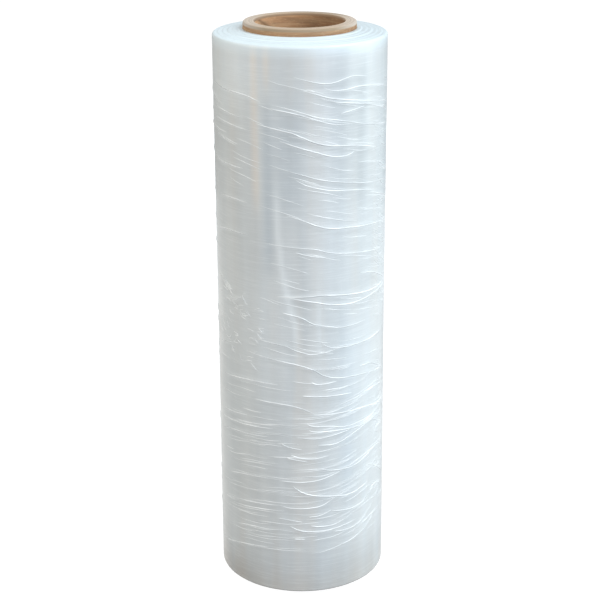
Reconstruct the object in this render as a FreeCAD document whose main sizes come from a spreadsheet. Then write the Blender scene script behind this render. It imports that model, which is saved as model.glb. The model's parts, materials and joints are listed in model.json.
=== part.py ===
import FreeCAD, Part
import math
import os

import Sketcher
from FreeCAD import Placement, Rotation, Vector

# A hand stretch-wrap roll that stands on the end of its core.
# Row frame: +Z up along the core, origin at the centre of the core's lower rim, front towards -Y.
# Angles round the roll start at the front and grow towards +X.

# Driving sizes, in millimetres, degrees and counts
DRIVING_SIZES = [
    ("core_bore", 76, "diameter of the core's bore, the common three inch size"),
    ("core_wall", 10, "thickness of the wound paperboard"),
    ("core_length", 512, "core from rim to rim"),
    ("rim_inner_bevel", 1.2, "bevel of the rims towards the bore"),
    ("rim_outer_bevel", 1.4, "bevel of the rims towards the outside"),
    ("film_width", 500, "width of the film, measured where it starts on the core"),
    ("film_diameter", 148, "over the outermost turn"),
    ("film_edge_drop", 3, "how much further in the last turns' edges lie, at each end"),
    ("turn_bundles", 6, "bundles of turns that show as steps on each end face"),
    ("bundle_setback", 0.35, "extra depth of every other bundle's edges"),
    ("shoulder_bevel", 1.8, "bevel where the end faces meet the side"),
    ("side_sectors", 4, "sectors of the side, so that no one face carries all the creases"),
    ("crease_height", 0.4, "how far a crease in the last turns stands out"),
    ("crease_width", 2.6, "width of a crease at its root"),
    ("crease_root", 0.6, "depth of a crease's root under the surface"),
    ("crease_end_height", 0.15, "what is left of a crease's height where it stops"),
    ("crease_station", 9, "angle from one section of a crease to the next"),
    ("back_crease_rows", 12, "rows of creases round the back"),
    ("back_crease_span", 58, "angle that a crease at the back covers"),
    ("back_crease_fall", 1.6, "fall of a crease at the back, in percent of the side's height"),
    ("loose_end_angle", 168, "where the last turn ends, round at the back"),
    ("loose_end_lift", 0.35, "how far the film's end stands off the turn below"),
    ("loose_end_span", 14, "angle over which the last turn lifts up to its end"),
]

# Creases that show on the front, each as points of angle and percent up the film's side.
# In the upper half they run down to the right like a slow thread, and lower down they lie level.
FRONT_CREASES = [
    [(-4, 95.0), (10, 94.0), (20, 93.8), (35, 94.6)],
    [(-73, 92.3), (-60, 91.9), (-38, 91.5)],
    [(0, 92.9), (10, 92.1), (20, 91.3), (34, 90.7), (60, 89.5), (80, 88.7)],
    [(-20, 90.3), (-10, 89.9), (0, 89.2), (10, 88.3), (28, 87.4), (50, 86.0), (70, 85.0)],
    [(-30, 87.0), (-7, 85.8), (0, 85.1), (10, 84.0), (20, 83.4), (40, 82.8), (60, 81.6)],
    [(-14, 84.4), (0, 83.2), (10, 82.4), (20, 81.6), (30, 81.2)],
    [(-18, 80.0), (0, 78.7), (10, 77.9), (20, 77.3), (45, 76.1)],
    [(-4, 77.9), (5, 76.7), (20, 75.7), (35, 75.3)],
    [(-73, 88.3), (-60, 88.1), (-40, 87.5)],
    [(-73, 83.6), (-60, 83.5), (-44, 82.9)],
    [(-75, 79.4), (-60, 79.1), (-40, 78.9)],
    [(60, 79.2), (70, 77.9), (80, 76.9)],
    [(52, 74.2), (66, 73.0), (80, 71.6)],
    [(62, 70.0), (71, 68.4), (80, 67.1)],
    [(-68, 73.1), (-50, 73.3), (-37, 73.1)],
    [(-10, 71.7), (0, 70.9), (10, 69.8), (20, 69.1), (35, 68.8), (60, 68.2)],
    [(-12, 66.2), (0, 65.9), (10, 65.6), (20, 64.8), (35, 64.2), (60, 63.4)],
    [(-70, 67.0), (-57, 67.4), (-37, 67.4)],
    [(60, 62.0), (68, 61.3), (79, 59.6)],
    [(42, 60.3), (58, 59.3), (74, 57.2)],
    [(0, 56.6), (10, 56.1), (20, 55.5), (36, 55.1)],
    [(-66, 54.1), (-56, 54.7), (-46, 55.4)],
    [(0, 53.4), (8, 52.2), (20, 51.4), (30, 51.0)],
    [(13, 48.6), (20, 47.6), (30, 47.3), (55, 47.4)],
    [(-10, 45.1), (0, 44.5), (8, 43.7), (15, 42.5), (25, 41.7), (35, 41.3)],
    [(42, 42.9), (56, 42.4), (76, 39.6)],
    [(-66, 39.8), (-40, 40.7), (-16, 40.8)],
    [(0, 38.9), (12, 38.6), (36, 38.3)],
    [(10, 35.2), (20, 35.0), (50, 34.6)],
    [(3, 33.6), (8, 33.0), (20, 32.7), (30, 32.2)],
    [(-70, 32.8), (-58, 33.2), (-40, 33.6)],
    [(-72, 28.9), (-52, 29.9), (-22, 30.6)],
    [(40, 30.6), (54, 31.4), (66, 30.2), (78, 28.4)],
    [(-8, 27.5), (0, 26.9), (8, 26.7), (18, 27.1)],
    [(12, 24.7), (20, 24.1), (30, 23.9), (40, 24.1)],
    [(-7, 21.5), (0, 20.2), (8, 19.5), (20, 19.0), (35, 18.6)],
    [(50, 23.2), (62, 21.6), (78, 18.6)],
    [(-60, 20.9), (-40, 22.1), (-15, 22.5)],
    [(-65, 15.4), (-40, 16.8), (-14, 17.4)],
    [(23, 15.8), (35, 15.6), (45, 16.2), (55, 16.4)],
    [(-9, 13.4), (-2, 12.6), (5, 12.3), (20, 12.3)],
    [(28, 8.7), (38, 9.4), (48, 10.4)],
    [(-52, 11.2), (-38, 12.0), (-18, 12.3)],
    [(-75, 6.1), (-65, 6.3), (-45, 7.7)],
]

# Creases round the back: where each of two columns starts, and the band of heights they share
BACK_COLUMN_STARTS = (94, 194)
BACK_LOWEST_PERCENT = 9
BACK_HIGHEST_PERCENT = 92

doc = FreeCAD.newDocument("stretch_wrap_roll")
sheet = doc.addObject("Spreadsheet::Sheet", "sizes")
for row, (alias, value, meaning) in enumerate(DRIVING_SIZES, start=1):
    sheet.set(f"A{row}", alias)
    sheet.set(f"B{row}", str(value))
    sheet.set(f"C{row}", meaning)
    sheet.setAlias(f"B{row}", alias)
doc.recompute()

# Places that more than one piece shares, as formulas on the sheet's cells
CORE_INSIDE = "sizes.core_bore / 2"
CORE_OUTSIDE = f"({CORE_INSIDE} + sizes.core_wall)"
FILM_OUTSIDE = "sizes.film_diameter / 2"
BUNDLE_THICKNESS = f"(({FILM_OUTSIDE} - {CORE_OUTSIDE}) / sizes.turn_bundles)"
MID_HEIGHT = "sizes.core_length / 2"


def value_of(formula):
    """The number that a formula on the sheet gives now."""
    return float(sheet.evalExpression(formula))


def sized(alias):
    return float(sheet.get(alias))


def lathe_sketch(body, name):
    """A sketch of radius and height on the body's own side plane.

    What is turned from it closes at the back of the roll, where no crease runs.
    """
    sketch = body.newObject("Sketcher::SketchObject", name)
    plane = next(item for item in body.Origin.OriginFeatures if item.Role == "YZ_Plane")
    sketch.AttachmentSupport = [(plane, "")]
    sketch.MapMode = "FlatFace"
    return sketch


def right_angled_outline(sketch, radii, heights):
    """Closes an outline of level and upright lines in turn, each tied to its own formula."""
    count = len(radii)
    across = [value_of(formula) for formula in radii]
    up = [value_of(formula) for formula in heights]
    for i in range(count):
        following = (i + 1) % count
        start = Vector(across[i], up[i], 0)
        corner = Vector(across[following], up[i], 0)
        end = Vector(across[following], up[following], 0)
        sketch.addGeometry(Part.LineSegment(start, corner))
        sketch.addGeometry(Part.LineSegment(corner, end))
    lines = 2 * count
    for line in range(lines):
        sketch.addConstraint(Sketcher.Constraint("Coincident", line, 2, (line + 1) % lines, 1))
        direction = "Vertical" if line % 2 else "Horizontal"
        sketch.addConstraint(Sketcher.Constraint(direction, line))
    for i in range(count):
        level_line = 2 * i
        reach = Sketcher.Constraint("DistanceX", -1, 1, level_line, 1, across[i])
        sketch.setExpression(f"Constraints[{sketch.addConstraint(reach)}]", radii[i])
        if up[i] == 0:
            sketch.addConstraint(Sketcher.Constraint("PointOnObject", level_line, 1, -1))
            continue
        rise = Sketcher.Constraint("DistanceY", -1, 1, level_line, 1, up[i])
        sketch.setExpression(f"Constraints[{sketch.addConstraint(rise)}]", heights[i])


def turned(body, sketch, name, angle="360"):
    """Turns an outline round the vertical axis."""
    solid = body.newObject("PartDesign::Revolution", name)
    solid.Profile = sketch
    solid.ReferenceAxis = (sketch, ["V_Axis"])
    solid.setExpression("Angle", angle)
    doc.recompute()
    return solid


def set_round(body, sketch, sector, name, count):
    """Repeats a sector round the vertical axis until the ring closes, and keeps each one's faces."""
    ring = body.newObject("PartDesign::PolarPattern", name)
    ring.Originals = [sector]
    ring.Axis = (sketch, ["V_Axis"])
    ring.Angle = 360
    ring.setExpression("Occurrences", count)
    ring.Refine = False
    body.Tip = ring
    doc.recompute()
    return ring


def bevelled_rings(body, base, name, ring_formula, size_formula):
    """Bevels the level circles of the body that have the given radius, at both ends."""
    ring_radius = value_of(ring_formula)
    rings = []
    for number, edge in enumerate(base.Shape.Edges, start=1):
        is_circle = isinstance(edge.Curve, Part.Circle)
        if is_circle and math.isclose(edge.Curve.Radius, ring_radius, abs_tol=1e-6):
            rings.append(f"Edge{number}")
    bevel = body.newObject("PartDesign::Chamfer", name)
    bevel.Base = (base, rings)
    bevel.Refine = False
    bevel.setExpression("Size", size_formula)
    doc.recompute()
    return bevel


def make_core():
    """The paperboard tube that the film is wound on, with rims that handling has eased."""
    body = doc.addObject("PartDesign::Body", "core")
    sketch = lathe_sketch(body, "core_outline")
    right_angled_outline(sketch, [CORE_INSIDE, CORE_OUTSIDE], ["0", "sizes.core_length"])
    tube = turned(body, sketch, "core_tube")
    inner = bevelled_rings(body, tube, "bore_rims", CORE_INSIDE, "sizes.rim_inner_bevel")
    bevelled_rings(body, inner, "outer_rims", CORE_OUTSIDE, "sizes.rim_outer_bevel")
    return body


def bundle_drop(number):
    """How far the edges of one bundle of turns lie in from those of the bundle at the core."""
    last = int(sized("turn_bundles")) - 1
    share = number / last
    drop = f"sizes.film_edge_drop * {share}"
    if number % 2 and number < last:
        drop += " + sizes.bundle_setback"
    return drop


def make_wound_turns():
    """All the turns as one solid: bundles of turns step down from the core to the last turn."""
    body = doc.addObject("PartDesign::Body", "wound_turns")
    sketch = lathe_sketch(body, "turns_outline")
    bundles = range(int(sized("turn_bundles")))
    reach = [f"{CORE_OUTSIDE} + {BUNDLE_THICKNESS} * {number}" for number in bundles]
    low = [f"{MID_HEIGHT} - sizes.film_width / 2 + {bundle_drop(number)}" for number in bundles]
    high = [f"{MID_HEIGHT} + sizes.film_width / 2 - ({bundle_drop(number)})" for number in bundles]
    radii = reach + [FILM_OUTSIDE] + reach[:0:-1]
    right_angled_outline(sketch, radii, low + high[::-1])
    sector = turned(body, sketch, "turns_sector", "360 / sizes.side_sectors")
    wound = set_round(body, sketch, sector, "turns_ring", "sizes.side_sectors")
    bevelled_rings(body, wound, "shoulders", FILM_OUTSIDE, "sizes.shoulder_bevel")
    return body


def on_roll(radius, angle, height):
    """A point at an angle round the roll, where 0 is the front and 90 is +X."""
    turn = math.radians(angle)
    return Vector(radius * math.sin(turn), -radius * math.cos(turn), height)


def side_height(percent):
    """The height of a place on the film's side, from 0 at its lower edge to 100 at its upper."""
    low = value_of(MID_HEIGHT) - sized("film_width") / 2 + sized("film_edge_drop")
    high = value_of(MID_HEIGHT) + sized("film_width") / 2 - sized("film_edge_drop")
    return low + (high - low) * percent / 100


def crease_section(angle, percent, swell):
    """A small roof across the crease: its ridge stands out most where swell is 1."""
    surface = value_of(FILM_OUTSIDE)
    end_height = sized("crease_end_height")
    ridge_radius = surface + end_height + (sized("crease_height") - end_height) * swell
    root_radius = surface - sized("crease_root")
    half_width = sized("crease_width") / 2 * (0.5 + 0.5 * swell)
    height = side_height(percent)
    corners = [
        on_roll(root_radius, angle, height - half_width),
        on_roll(ridge_radius, angle, height),
        on_roll(root_radius, angle, height + half_width),
    ]
    return Part.makePolygon(corners + corners[:1])


def make_crease(name, points):
    """One crease: roofs set along a smooth route on the side, lower and narrower at its ends."""
    route = Part.BSplineCurve()
    route.interpolate([Vector(angle, percent, 0) for angle, percent in points])
    span = points[-1][0] - points[0][0]
    stations = max(5, round(span / sized("crease_station")) + 1)
    sections = []
    for i in range(stations):
        share = i / (stations - 1)
        place = route.value(route.FirstParameter + share * (route.LastParameter - route.FirstParameter))
        swell = math.sin(math.pi * share) ** 0.7
        sections.append(crease_section(place.x, place.y, swell))
    crease = doc.addObject("Part::Feature", name)
    crease.Shape = Part.makeLoft(sections, True, False)
    return crease


def back_creases():
    """Routes round the back, in two columns whose rows lie half a row apart."""
    rows = int(sized("back_crease_rows"))
    pitch = (BACK_HIGHEST_PERCENT - BACK_LOWEST_PERCENT) / rows
    span = sized("back_crease_span")
    fall = sized("back_crease_fall")
    routes = []
    for column, start in enumerate(BACK_COLUMN_STARTS):
        for row in range(rows):
            middle = BACK_LOWEST_PERCENT + pitch * (row + 0.3 + 0.5 * column)
            first = start + 9 * math.sin(2.4 * row + column)
            steepness = fall * (0.2 + row / rows)
            routes.append([
                (first, middle + steepness / 2),
                (first + span / 2, middle - steepness / 5),
                (first + span, middle - steepness / 2),
            ])
    return routes


def make_loose_end():
    """The end of the last turn: a lip up the back that lifts slowly and stops at a sharp edge."""
    surface = value_of(FILM_OUTSIDE)
    edge_angle = sized("loose_end_angle")
    thin_angle = edge_angle - sized("loose_end_span")
    root_radius = surface - sized("crease_root")
    foot = side_height(0) + sized("shoulder_bevel")
    head = side_height(100) - sized("shoulder_bevel")
    corners = [
        on_roll(root_radius, edge_angle, foot),
        on_roll(surface + sized("loose_end_lift"), edge_angle, foot),
        on_roll(root_radius, thin_angle, foot),
    ]
    plan = Part.Face(Part.makePolygon(corners + corners[:1]))
    lip = doc.addObject("Part::Feature", "loose_end")
    lip.Shape = plan.extrude(Vector(0, 0, head - foot))
    return lip


def make_film():
    """The film as one solid: its turns, the creases in the last turns and the loose end."""
    pieces = [make_wound_turns()]
    for number, points in enumerate(FRONT_CREASES + back_creases(), start=1):
        pieces.append(make_crease(f"crease_{number:02d}", points))
    pieces.append(make_loose_end())
    film = doc.addObject("Part::MultiFuse", "film")
    film.Shapes = pieces
    film.Refine = False
    return film


def check(nodes):
    """Stops before anything is written if an object failed or a sub-part isn't one sound solid."""
    for item in doc.Objects:
        if "Invalid" in item.State or "Error" in item.State:
            raise RuntimeError(f"{item.Name} failed: {item.State}")
    for node in nodes:
        shape = node.Shape
        if shape.isNull() or not shape.isValid():
            raise RuntimeError(f"{node.Label} has no sound shape")
        if len(shape.Solids) != 1:
            raise RuntimeError(f"{node.Label} came out as {len(shape.Solids)} solids")


core = make_core()
film = make_film()
core.Label = "core"
film.Label = "film"
for node in (core, film):
    node.Placement = Placement(Vector(0, 0, 0), Rotation())
doc.recompute()
check((core, film))

os.makedirs("parts", exist_ok=True)
for node in (core, film):
    node.Shape.exportStep(f"parts/{node.Label}.step")
    box = node.Shape.BoundBox
    print(f"{node.Label}: volume {node.Shape.Volume / 1e6:.4f} litres,"
          f" {box.XLength:.2f} x {box.YLength:.2f} x {box.ZLength:.2f} mm,"
          f" {len(node.Shape.Faces)} faces")
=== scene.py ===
# %% [markdown]
# A roll of stretch wrap, standing on end
#
# The real object is a long strip of clear film, 0.02 mm thick, wound tight on a paperboard tube.
# It reads as one pale, glossy cylinder. What makes it film and not plastic pipe is small: creases
# that catch the light, end faces made of thousands of edges, and a brown tube that stands proud.
# The construction is loaded first and stays as it is. Everything below only dresses it.

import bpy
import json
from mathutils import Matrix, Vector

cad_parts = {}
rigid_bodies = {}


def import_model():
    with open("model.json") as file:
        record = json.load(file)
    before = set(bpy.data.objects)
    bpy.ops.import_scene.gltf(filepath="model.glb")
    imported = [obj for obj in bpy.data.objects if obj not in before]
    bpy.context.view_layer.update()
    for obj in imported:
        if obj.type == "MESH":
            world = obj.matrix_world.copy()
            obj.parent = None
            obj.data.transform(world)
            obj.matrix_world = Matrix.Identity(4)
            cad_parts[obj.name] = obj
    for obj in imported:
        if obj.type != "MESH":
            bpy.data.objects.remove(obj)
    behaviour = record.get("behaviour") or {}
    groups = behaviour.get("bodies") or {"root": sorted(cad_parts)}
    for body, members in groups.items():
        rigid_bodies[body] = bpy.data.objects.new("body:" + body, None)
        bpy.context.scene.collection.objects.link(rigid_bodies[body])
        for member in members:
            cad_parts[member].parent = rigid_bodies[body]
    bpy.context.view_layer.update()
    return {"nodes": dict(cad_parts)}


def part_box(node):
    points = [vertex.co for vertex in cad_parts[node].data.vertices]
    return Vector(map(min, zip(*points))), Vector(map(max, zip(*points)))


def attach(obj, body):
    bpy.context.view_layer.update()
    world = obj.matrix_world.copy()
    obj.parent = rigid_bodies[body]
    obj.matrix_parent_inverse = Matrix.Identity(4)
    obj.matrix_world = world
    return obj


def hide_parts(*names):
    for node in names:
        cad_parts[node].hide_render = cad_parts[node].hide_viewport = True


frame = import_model()
print("nodes:", sorted(frame["nodes"]))

# %% Tools for this lesson
import json
import math
import random

import bpy
import numpy as np
from mathutils import Matrix, Vector

MM = 0.001

# %% [markdown]
# Sizes
#
# Blender works in metres here. The heights and the core's radius are read from the frame, so the
# dress follows the construction. The film's radius is a named value, because the film's own box
# also holds its creases.

# %% Read the sizes
_, core_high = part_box("core")
film_low, film_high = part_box("film")

CORE_OUTER = core_high.x
CORE_WALL = 10 * MM
CORE_INNER = CORE_OUTER - CORE_WALL
CORE_HEIGHT = core_high.z
FILM_RADIUS = 74 * MM
FILM_FOOT = film_low.z
FILM_HEAD = film_high.z
EDGE_DROP = 3 * MM
SIDE_FOOT = FILM_FOOT + EDGE_DROP
SIDE_HEAD = FILM_HEAD - EDGE_DROP
SIDE_HEIGHT = SIDE_HEAD - SIDE_FOOT
LOOSE_END = 168.0
print(f"core {CORE_OUTER / MM:.1f} mm outside, {CORE_HEIGHT / MM:.0f} mm tall")
print(f"film side from {SIDE_FOOT / MM:.1f} to {SIDE_HEAD / MM:.1f} mm")

# %% [markdown]
# The camera
#
# A product shot of something tall is taken from a little above, with a long lens, so that the
# sides stay nearly parallel but still lean in towards the foot. Distance, height, tilt and lens
# were worked out from the roll's own outline.

# %% Set the camera
CAMERA_PLACE = (0.0, -1.2652, 0.7166)
CAMERA_LENS = 90.17
CAMERA_TILT_DOWN = 19.742
CAMERA_TURN = 0.046
CAMERA_ROLL = 0.313

camera_data = bpy.data.cameras.new("camera")
camera_data.lens = CAMERA_LENS
camera_data.sensor_width = 36
camera = bpy.data.objects.new("camera", camera_data)
bpy.context.scene.collection.objects.link(camera)
turn = Matrix.Rotation(math.radians(CAMERA_TURN), 4, "Z")
tilt = Matrix.Rotation(math.radians(90 - CAMERA_TILT_DOWN), 4, "X")
roll = Matrix.Rotation(math.radians(-CAMERA_ROLL), 4, "Z")
camera.matrix_world = Matrix.Translation(CAMERA_PLACE) @ turn @ tilt @ roll
bpy.context.scene.camera = camera
bpy.context.scene.view_settings.view_transform = "Standard"
print("camera", [round(c, 3) for c in camera.location])

# %% [markdown]
# Shader helpers
#
# Every finish below is a small tree of nodes. These helpers add a node, link it and give back its
# output, so that a material reads from top to bottom like a recipe.


# %% Node helpers
def new_material(name):
    """A material with an empty tree, its tree and its output node."""
    material = bpy.data.materials.new(name)
    material.use_nodes = True
    tree = material.node_tree
    tree.nodes.clear()
    output = tree.nodes.new("ShaderNodeOutputMaterial")
    return material, tree, output


def add_node(tree, kind, settings=None, inputs=None):
    """Adds a node. An input that is a socket is linked, and any other value is set."""
    node = tree.nodes.new(kind)
    for key, value in (settings or {}).items():
        setattr(node, key, value)
    for key, value in (inputs or {}).items():
        if isinstance(value, bpy.types.NodeSocket):
            tree.links.new(value, node.inputs[key])
        else:
            node.inputs[key].default_value = value
    return node


def calculate(tree, operation, first, second=0.0, third=0.0, clamp=False):
    settings = {"operation": operation, "use_clamp": clamp}
    return add_node(tree, "ShaderNodeMath", settings, {0: first, 1: second, 2: third}).outputs[0]


def blend_colours(tree, share, first, second):
    node = add_node(tree, "ShaderNodeMix", {"data_type": "RGBA"})
    for socket, value in ((node.inputs[0], share), (node.inputs[6], first), (node.inputs[7], second)):
        if isinstance(value, bpy.types.NodeSocket):
            tree.links.new(value, socket)
        else:
            socket.default_value = value
    return node.outputs[2]


def link_surface(tree, output, inputs):
    """Ends a tree with one surface shader that has these inputs."""
    shader = add_node(tree, "ShaderNodeBsdfPrincipled", None, inputs)
    tree.links.new(shader.outputs[0], output.inputs[0])


def scaled_colour(tree, colour, level):
    settings = {"operation": "SCALE"}
    return add_node(tree, "ShaderNodeVectorMath", settings, {0: colour, "Scale": level}).outputs[0]


def stretched_noise(tree, place, stretch, detail=2.0, roughness=0.5):
    """Noise whose grain is drawn out: the smaller a number in stretch, the longer the grain."""
    scaled = add_node(tree, "ShaderNodeVectorMath", {"operation": "MULTIPLY"}, {0: place, 1: stretch})
    settings = {"noise_dimensions": "3D"}
    inputs = {"Vector": scaled.outputs[0], "Scale": 1.0, "Detail": detail, "Roughness": roughness}
    return add_node(tree, "ShaderNodeTexNoise", settings, inputs).outputs[0]


def spread_out(tree, value, low, high, to_low=0.0, to_high=1.0):
    """Takes values between low and high to values between to_low and to_high."""
    inputs = {0: value, 1: low, 2: high, 3: to_low, 4: to_high}
    return add_node(tree, "ShaderNodeMapRange", {"clamp": True}, inputs).outputs[0]


# %% [markdown]
# Mesh helpers
#
# Each piece is made from a list of points and a list of faces. One helper turns the two into an
# object, and another writes a value on every point, which a material can read by its name.


# %% Mesh helpers
def make_piece(name, points, faces, smooth=True):
    mesh = bpy.data.meshes.new(name)
    mesh.from_pydata(points, [], faces)
    mesh.update()
    mesh.polygons.foreach_set("use_smooth", [smooth] * len(mesh.polygons))
    piece = bpy.data.objects.new(name, mesh)
    bpy.context.scene.collection.objects.link(piece)
    return piece


def write_values(piece, name, values):
    attribute = piece.data.attributes.new(name, "FLOAT", "POINT")
    attribute.data.foreach_set("value", np.asarray(values, np.float32).ravel())


def triangles(piece):
    return sum(len(polygon.vertices) - 2 for polygon in piece.data.polygons)


# %% [markdown]
# The stage
#
# The roll stands on a plain white table in a white room. Rays from the camera, reflections and
# rays through the film see the room at full white, while the light it sheds on the film is softer.
# The table adds its own soft light to what falls on it, so it stays white and keeps the shadow.
# A grey card stands behind, out of the camera's sight. Glossy sides mirror it where they turn
# away, which draws the thin grey line that separates a white product from a white ground.

# %% Floor and room
ROOM_LIGHT = (0.50, 0.50, 0.50, 1.0)
TABLE_GLOW = 0.96
TABLE_COLOUR = (0.20, 0.20, 0.20, 1.0)
TABLE_RADIUS = 14.0
CARD_GREY = 0.42
CARD_DISTANCE = 1.3
CARD_ANGLES = range(118, 243, 4)
CARD_FOOT, CARD_HEAD = -0.2, 1.5


def seen_directly(tree):
    """1 for rays from the camera, reflected rays and rays through something, and 0 for the rest."""
    path = add_node(tree, "ShaderNodeLightPath")
    seen = calculate(tree, "ADD", path.outputs["Is Camera Ray"], path.outputs["Is Glossy Ray"])
    return calculate(tree, "ADD", seen, path.outputs["Is Transmission Ray"], clamp=True)


def make_room():
    world = bpy.data.worlds.new("white_room")
    bpy.context.scene.world = world
    world.use_nodes = True
    tree = world.node_tree
    tree.nodes.clear()
    colour = blend_colours(tree, seen_directly(tree), ROOM_LIGHT, (1.0, 1.0, 1.0, 1.0))
    background = add_node(tree, "ShaderNodeBackground", None, {"Color": colour, "Strength": 1.0})
    output = tree.nodes.new("ShaderNodeOutputWorld")
    tree.links.new(background.outputs[0], output.inputs[0])


def make_floor():
    material, tree, output = new_material("white_table")
    cloth = add_node(tree, "ShaderNodeBsdfDiffuse", None, {"Color": TABLE_COLOUR})
    strength = calculate(tree, "MULTIPLY", seen_directly(tree), TABLE_GLOW)
    glow = add_node(tree, "ShaderNodeEmission", None, {"Strength": strength})
    both = add_node(tree, "ShaderNodeAddShader", None, {0: cloth.outputs[0], 1: glow.outputs[0]})
    tree.links.new(both.outputs[0], output.inputs[0])
    bpy.ops.mesh.primitive_circle_add(vertices=96, radius=TABLE_RADIUS, fill_type="NGON")
    floor = bpy.context.object
    floor.name = "table_top"
    floor.data.materials.append(material)


def make_back_card():
    """A grey card bent round the back of the stage, seen only in reflections."""
    material, tree, output = new_material("grey_card")
    glow = add_node(tree, "ShaderNodeEmission", None, {"Color": (CARD_GREY,) * 3 + (1.0,)})
    tree.links.new(glow.outputs[0], output.inputs[0])
    places = [(math.sin(math.radians(a)), -math.cos(math.radians(a))) for a in CARD_ANGLES]
    points = [
        (CARD_DISTANCE * x, CARD_DISTANCE * y, up) for x, y in places for up in (CARD_FOOT, CARD_HEAD)
    ]
    faces = [(2 * i, 2 * i + 1, 2 * i + 3, 2 * i + 2) for i in range(len(places) - 1)]
    card = make_piece("back_card", points, faces, smooth=False)
    card.data.materials.append(material)
    card.visible_camera = card.visible_diffuse = card.visible_shadow = card.visible_transmission = False


make_room()
make_floor()
make_back_card()
print("room, table and card made")

# %% [markdown]
# The lamps
#
# Clear film shows its creases only where a lamp rakes across them. A high panel at the right rakes
# down the side and lights the end face, and a lower one there turns the right side nearly white.
# A cool panel in front fills the middle, a warm one at the left keeps that side a neutral grey,
# and one behind does the same for the back.


# %% Softboxes
def softbox(name, place, aim, width, height, power, colour):
    lamp = bpy.data.lights.new(name, "AREA")
    lamp.shape = "RECTANGLE"
    lamp.size = width
    lamp.size_y = height
    lamp.energy = power
    lamp.color = colour
    box = bpy.data.objects.new(name, lamp)
    bpy.context.scene.collection.objects.link(box)
    box.location = place
    direction = Vector(aim) - Vector(place)
    box.rotation_euler = direction.to_track_quat("-Z", "Y").to_euler()


MIDDLE = (0.0, 0.0, 0.26)
softbox("left_panel", (-1.5, -0.8, 0.85), MIDDLE, 1.2, 1.0, 12.0, (1.0, 0.91, 0.77))
softbox("front_panel", (0.85, -1.47, 0.36), MIDDLE, 1.2, 1.0, 10.5, (0.85, 0.88, 1.0))
softbox("right_panel", (1.69, -0.15, 0.34), MIDDLE, 1.2, 1.0, 10.0, (0.86, 1.0, 0.99))
softbox("back_panel", (-0.4, 1.65, 0.45), MIDDLE, 1.2, 1.0, 12.0, (0.80, 0.92, 1.0))
softbox("overhead_panel", (1.0, -0.5, 1.5), MIDDLE, 0.9, 0.9, 16.5, (0.93, 0.98, 1.0))

# %% [markdown]
# Random hills that never change
#
# Film under tension buckles at random, yet a good script gives the same roll every time. This
# small function makes smooth random hills from nothing but the place itself: each corner of a
# grid gets a fixed number, and the space between is filled smoothly.


# %% Smooth hills
def corner_value(column, row, kind):
    """A fixed number from 0 to 1 for a corner of the grid, from the far digits of a large sine."""
    wave = np.sin(column * 127.1 + row * 311.7 + kind * 74.7) * 43758.5453
    return wave - np.floor(wave)


def hills(across, up, kind):
    """Smooth values from 0 to 1 over a plane. A kind is one of many different landscapes."""
    column, row = np.floor(across), np.floor(up)
    x, y = across - column, up - row
    x, y = x * x * (3 - 2 * x), y * y * (3 - 2 * y)
    low = corner_value(column, row, kind) * (1 - x) + corner_value(column + 1, row, kind) * x
    high = corner_value(column, row + 1, kind) * (1 - x) + corner_value(column + 1, row + 1, kind) * x
    return low * (1 - y) + high * y


def step_up(value, low, high):
    """0 below low, 1 above high and smooth between."""
    share = np.clip((value - low) / (high - low), 0, 1)
    return share * share * (3 - 2 * share)


print("hills at one place:", round(float(hills(np.array(3.3), np.array(1.7), 1)), 4))
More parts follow.
